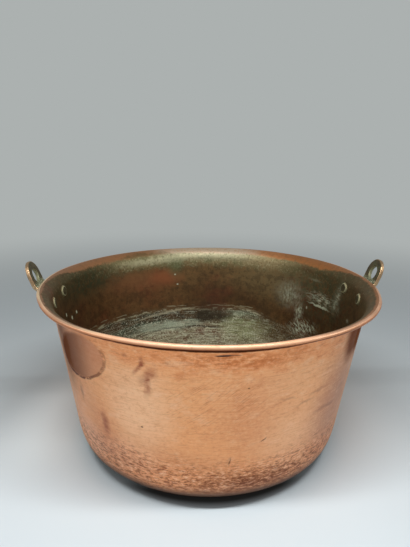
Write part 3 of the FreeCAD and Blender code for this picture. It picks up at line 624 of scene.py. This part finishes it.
# Slopes are in degrees. A bend is its radius, its turn and the steps that it is drawn in.
WALL_SLOPE, LIP_SLOPE = 81.7, 15
BENDS = [(68.5 * MM, 40, 20), (30 * MM, 30, 12), (105 * MM, 11.7, 10)]
LIP = 20.5 * MM
CURL_TURN, CURL_STEPS = 290, 36
FLOOR_STEPS, WALL_STEPS, LIP_STEPS = 24, 70, 20
ROUND = 480
SHARP = 50
WIRE, WIRE_SIDES = 1.8 * MM, 16
# The short slit below the bead: its place round the wall from the right ear, its level,
# half its length and height, and how deep it is.
SLIT_ALONG, SLIT_LEVEL = -348.5 * MM, 220.6 * MM
SLIT_LONG, SLIT_HIGH, SLIT_DEEP = 9 * MM, 2.2 * MM, 0.7 * MM


def smooth(share):
    share = max(0.0, min(1.0, share))
    return share * share * (3 - 2 * share)


def follow(start, runs):
    """Places (reach, level, slope) along runs: (length, steps) or (radius, turn, steps)."""
    reach, level, slope = start
    line = [start]
    for *run, steps in runs:
        for _ in range(steps):
            turn = run[1] / steps if len(run) == 2 else 0
            step = 2 * run[0] * sin(radians(abs(turn) / 2)) if turn else run[0] / steps
            slope += turn / 2
            reach += step * cos(radians(slope))
            level += step * sin(radians(slope))
            slope += turn / 2
            line.append((reach, level, slope))
    return line


def sheet_line():
    """The outer face of the sheet, from the middle of the bottom into the rolled edge."""
    lean_out, lip_turn = radians(WALL_SLOPE), WALL_SLOPE - LIP_SLOPE
    lip_back = sin(lean_out) - sin(radians(LIP_SLOPE))
    lip_rise = cos(radians(LIP_SLOPE)) - cos(lean_out)
    top_reach = BEAD_MIDDLE[0] - CURL * sin(radians(LIP_SLOPE)) - LIP * lip_back
    top_level = BEAD_MIDDLE[1] + CURL * cos(radians(LIP_SLOPE)) - LIP * lip_rise
    bend_reach, bend_level, _ = follow((0, 0, 0), BENDS)[-1]
    wall_rise = top_level - bend_level
    floor = top_reach - bend_reach - wall_rise / tan(lean_out)
    wall = wall_rise / sin(lean_out)
    runs = [(floor, FLOOR_STEPS), *BENDS, (wall, WALL_STEPS)]
    runs += [(LIP, -lip_turn, LIP_STEPS), (CURL, -CURL_TURN, CURL_STEPS)]
    return follow((0, 0, 0), runs)


def worked(bearing, reach, level):
    """Where hammer, hand and use have moved the sheet: outwards and upwards. The ears hold
    it still beside them."""
    beside_ear = abs((degrees(bearing) + 90) % 180 - 90)
    free = smooth((beside_ear - 11) / 14)
    place = Vector((reach * cos(bearing), reach * sin(bearing), level))
    wall = smooth(level / (70 * MM))
    oval = level * (0.0038 * cos(2 * bearing + 1.1) + 0.0017 * cos(3 * bearing - 0.4))
    hollow = (1.1 * noise.noise(place * 9) + 0.4 * noise.noise(place * 24)) * MM
    planished = 0.1 * MM * noise.noise(place * 70)
    slit = smooth(1 - abs(bearing * reach - SLIT_ALONG) / SLIT_LONG)
    slit *= smooth(1 - abs(level - SLIT_LEVEL) / SLIT_HIGH)
    outward = free * wall * (oval + hollow) + planished - SLIT_DEEP * slit

    # the rim sags to both sides of its front, and at the back left
    if bearing < 0:
        from_front = abs(degrees(bearing) + 90)
        sagging = (0.5 + 1.5 * smooth((from_front - 15) / 35)) * MM
    else:
        sagging = 1.6 * MM * smooth(2 * cos(bearing - 2.1) - 1)
    upward = -sagging * free * smooth((level - 190 * MM) / (50 * MM))
    bulge = smooth(1 - reach / (125 * MM)) * (0.6 + noise.noise(place * 14))
    return outward, upward + 1.2 * MM * bulge


def spun(name, line, finishes, closed=False, shift=None, segments=ROUND):
    """A mesh turned about Z from a line of (reach, level, finish number), the number being
    that of the face which follows the place."""
    points, rows = [], []
    for reach, level, _ in line:
        if reach < 1e-9:
            rows.append([len(points)] * segments)
            points.append((0, 0, level))
            continue
        rows.append(list(range(len(points), len(points) + segments)))
        for k in range(segments):
            bearing = -pi + 2 * pi * k / segments
            out, up = shift(bearing, reach, level) if shift else (0, 0)
            moved = reach + out
            points.append((moved * cos(bearing), moved * sin(bearing), level + up))
    if closed:
        rows.append(rows[0])
    faces, numbers = [], []
    for (low, high), (_, _, number) in zip(zip(rows, rows[1:]), line):
        for k in range(segments):
            after = (k + 1) % segments
            corners = (low[k], low[after], high[after], high[k])
            faces.append(tuple(dict.fromkeys(corners)))
            numbers.append(number)
    mesh = bpy.data.meshes.new(name)
    mesh.from_pydata(points, [], faces)
    mesh.polygons.foreach_set("material_index", numbers)
    return piece(name, mesh, finishes)


def piece(name, mesh, finishes):
    """A shown object of the pan, smooth except across true edges."""
    for finish in finishes:
        mesh.materials.append(finish)
    mesh.polygons.foreach_set("use_smooth", [True] * len(mesh.polygons))
    mesh.set_sharp_from_angle(angle=radians(SHARP))
    mesh.update()
    made = bpy.data.objects.new(name, mesh)
    bpy.context.scene.collection.objects.link(made)
    return made


def standing_for(made, node):
    """The piece rides on the only body and is shown in place of the part's own node."""
    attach(made, "root")
    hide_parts(node)


def make_vessel(outside, inside):
    """Both faces of the sheet, joined at the end that lies inside the rolled rim."""
    faces = sheet_line()
    bead_starts = len(faces) - 1 - CURL_STEPS
    outer = [(reach, level, 0) for reach, level, _ in faces]
    inner = []
    for index, (reach, level, slope) in enumerate(faces):
        away = radians(slope + 90)
        place = (reach + SHEET * cos(away), level + SHEET * sin(away))
        inner.append((*place, 1 if index <= bead_starts else 0))
    inner[0] = (0, SHEET, 1)

    made = spun("vessel", outer + inner[::-1], [outside, inside], shift=worked)
    standing_for(made, "pan")


def make_wire(iron):
    middle_reach, middle_level = BEAD_MIDDLE
    circle = []
    for k in range(WIRE_SIDES):
        turn = 2 * pi * k / WIRE_SIDES
        circle.append((middle_reach + WIRE * cos(turn), middle_level - WIRE * sin(turn), 0))
    made = spun("wire", circle, [iron], closed=True, shift=worked)
    standing_for(made, "rim_wire")


# ---- ears and rivets ------------------------------------------------------------

CAST_GRID = 0.55 * MM
# Where a rivet's shank crosses the wall, and each rivet's bearing in degrees.
RIVET_REACH, RIVET_LEVEL = 220.63 * MM, 216 * MM
RIVETS = {
    "right_front_rivet": -7.5,
    "right_back_rivet": 7.5,
    "left_front_rivet": 187.5,
    "left_back_rivet": 172.5,
}


def make_rivet(node, bearing, finish):
    """A flat head hammered down inside, the shank, and a round head closed outside."""
    head, shank, dome = 7.8, 3.2, 7.5
    edge = [radians(turn) for turn in (75, 60, 45, 30, 15)]
    crown = [radians(turn) for turn in range(50, 0, -6)]
    line = [(0, -3.5), (2.2, -3.5), (4.4, -3.43), (6, -3.3), (6.9, -3.05)]
    line += [(head - 1.1 * (1 - cos(a)), -2.3 - 0.75 * sin(a)) for a in edge]
    line += [(head, -2.1), (7.75, -1.4), (shank, -1.39), (shank, 6.15), (6, 6.15)]
    line += [(dome * sin(a), 1.65 + dome * cos(a)) for a in crown] + [(0, 9.15)]
    line = [(reach * MM, level * MM, 0) for reach, level in line]

    def beaten(turn, reach, level):
        place = Vector((reach * cos(turn), reach * sin(turn), level + bearing)) * 260
        much = 0.25 * MM * noise.noise(place)
        on_end = smooth(abs(level - 1.5 * MM) / (4 * MM))
        return much * on_end, much * on_end

    made = spun(node + "_beaten", line, [finish], shift=beaten, segments=64)
    on_wall = Matrix.Translation((RIVET_REACH, 0, RIVET_LEVEL))
    square = Matrix.Rotation(radians(180 - WALL_SLOPE), 4, "Y")
    made.data.transform(Matrix.Rotation(radians(bearing), 4, "Z") @ on_wall @ square)
    standing_for(made, node)


def make_ear(node, finish):
    """The ear as cast and worn: the solid with its edges rubbed round and its faces uneven."""
    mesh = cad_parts[node].data.copy()
    rough = bpy.data.objects.new(node + "_rough", mesh)
    bpy.context.scene.collection.objects.link(rough)
    skin = rough.modifiers.new("skin", "REMESH")
    skin.mode, skin.voxel_size = "VOXEL", CAST_GRID
    wear = rough.modifiers.new("wear", "SMOOTH")
    wear.factor, wear.iterations = 0.5, 6
    evaluated = rough.evaluated_get(bpy.context.evaluated_depsgraph_get())
    cast = bpy.data.meshes.new_from_object(evaluated)
    bpy.data.objects.remove(rough)
    cast.materials.clear()
    moved = []
    for vertex in cast.vertices:
        place = vertex.co.copy()
        much = 0.22 * noise.noise(place * 130) + 0.12 * noise.noise(place * 420)
        moved.extend(place + vertex.normal * much * MM)
    cast.vertices.foreach_set("co", moved)
    made = piece(node + "_cast", cast, [finish])
    standing_for(made, node)


outside_finish = polished_copper()
make_vessel(outside_finish, tarnished_copper())
make_wire(drawn_iron())
bronze = cast_bronze()
for ear_node in ("right_ear", "left_ear"):
    make_ear(ear_node, bronze)
rivet_finish = rivet_copper()
for rivet_node, rivet_bearing in RIVETS.items():
    make_rivet(rivet_node, rivet_bearing, rivet_finish)


# ---- floor, light and camera ----------------------------------------------------


# Places are in metres and turns in degrees. The sensor is in millimetres, and the focal
# length and the picture's height are in pixels.
CAMERA_PLACE = (-0.0552, -0.6579, 0.4254)
HEADING, PITCH, ROLL = 4.32, 14.93, 0.67
SENSOR, FOCAL_LENGTH, PICTURE_HEIGHT = 36, 465, 547
LAMP_AIM = (0, 0, 0.2)
FLOOR_REACH = 12
EVEN_LIGHT = (0.27, 0.27, 0.27, 1)


def make_floor():
    mesh = bpy.data.meshes.new("floor")
    square = ((-1, -1), (1, -1), (1, 1), (-1, 1))
    corners = [(x * FLOOR_REACH, y * FLOOR_REACH, 0) for x, y in square]
    mesh.from_pydata(corners, [], [(0, 1, 2, 3)])
    mesh.materials.append(pale_floor())
    floor = bpy.data.objects.new("floor", mesh)
    bpy.context.scene.collection.objects.link(floor)


def make_surroundings():
    """Even light from all round, with the background's grey where it is seen or mirrored."""
    world = bpy.data.worlds.new("surroundings")
    bpy.context.scene.world = world
    nodes = Nodes(world)
    rays = ("Camera", "Glossy", "Transmission")
    seen, mirrored, through = (nodes.add("LightPath", {}, {}, f"Is {ray} Ray") for ray in rays)
    light = nodes.add("Background", {}, {"Color": EVEN_LIGHT})
    shown = nodes.add("Background", {}, {"Color": BACKGROUND})
    share = seen.most(mirrored).most(through)
    mixed = nodes.add("MixShader", {}, {0: share, 1: light, 2: shown})
    nodes.add("OutputWorld", {}, {0: mixed})


def make_lamp(name, place, aim, wide, deep, power, only_mirrored=False):
    """A flat lamp. One that is only mirrored draws its shine on metal and lights no cloth."""
    light = bpy.data.lights.new(name, "AREA")
    light.shape, light.size, light.size_y, light.energy = "RECTANGLE", wide, deep, power
    lamp = bpy.data.objects.new(name, light)
    lamp.location = place
    lamp.rotation_euler = (Vector(aim) - Vector(place)).to_track_quat("-Z", "Y").to_euler()
    lamp.visible_camera = False
    lamp.visible_diffuse = not only_mirrored
    bpy.context.scene.collection.objects.link(lamp)


def make_camera():
    """Where the picture was taken from: 0.66 m in front of the pan's axis, looking down."""
    heading, pitch, roll = radians(HEADING), radians(PITCH), radians(ROLL)
    ahead = Vector((sin(heading) * cos(pitch), cos(heading) * cos(pitch), -sin(pitch)))
    level_right = Vector((cos(heading), -sin(heading), 0))
    level_up = level_right.cross(ahead)
    right = cos(roll) * level_right + sin(roll) * level_up
    up = -sin(roll) * level_right + cos(roll) * level_up
    lens = bpy.data.cameras.new("camera")
    lens.sensor_width, lens.lens = SENSOR, SENSOR * FOCAL_LENGTH / PICTURE_HEIGHT
    camera = bpy.data.objects.new("camera", lens)
    turned = Matrix((right, up, -ahead)).transposed().to_4x4()
    camera.matrix_world = Matrix.Translation(CAMERA_PLACE) @ turned
    bpy.context.scene.collection.objects.link(camera)
    bpy.context.scene.camera = camera


make_floor()
make_surroundings()
make_lamp("strip", (0, -0.42, 0.95), (0, -0.35, 0), 0.9, 0.07, 8.5)
make_lamp("front", (-0.1, -1.35, 1.0), LAMP_AIM, 1.6, 0.6, 4.2, only_mirrored=True)
make_lamp("left", (-1.15, -0.4, 0.85), LAMP_AIM, 1.2, 0.5, 2.8, only_mirrored=True)
make_lamp("right", (1.15, -0.4, 0.85), LAMP_AIM, 1.2, 0.5, 2.8, only_mirrored=True)
make_camera()
bpy.context.scene.view_settings.view_transform = "Standard"
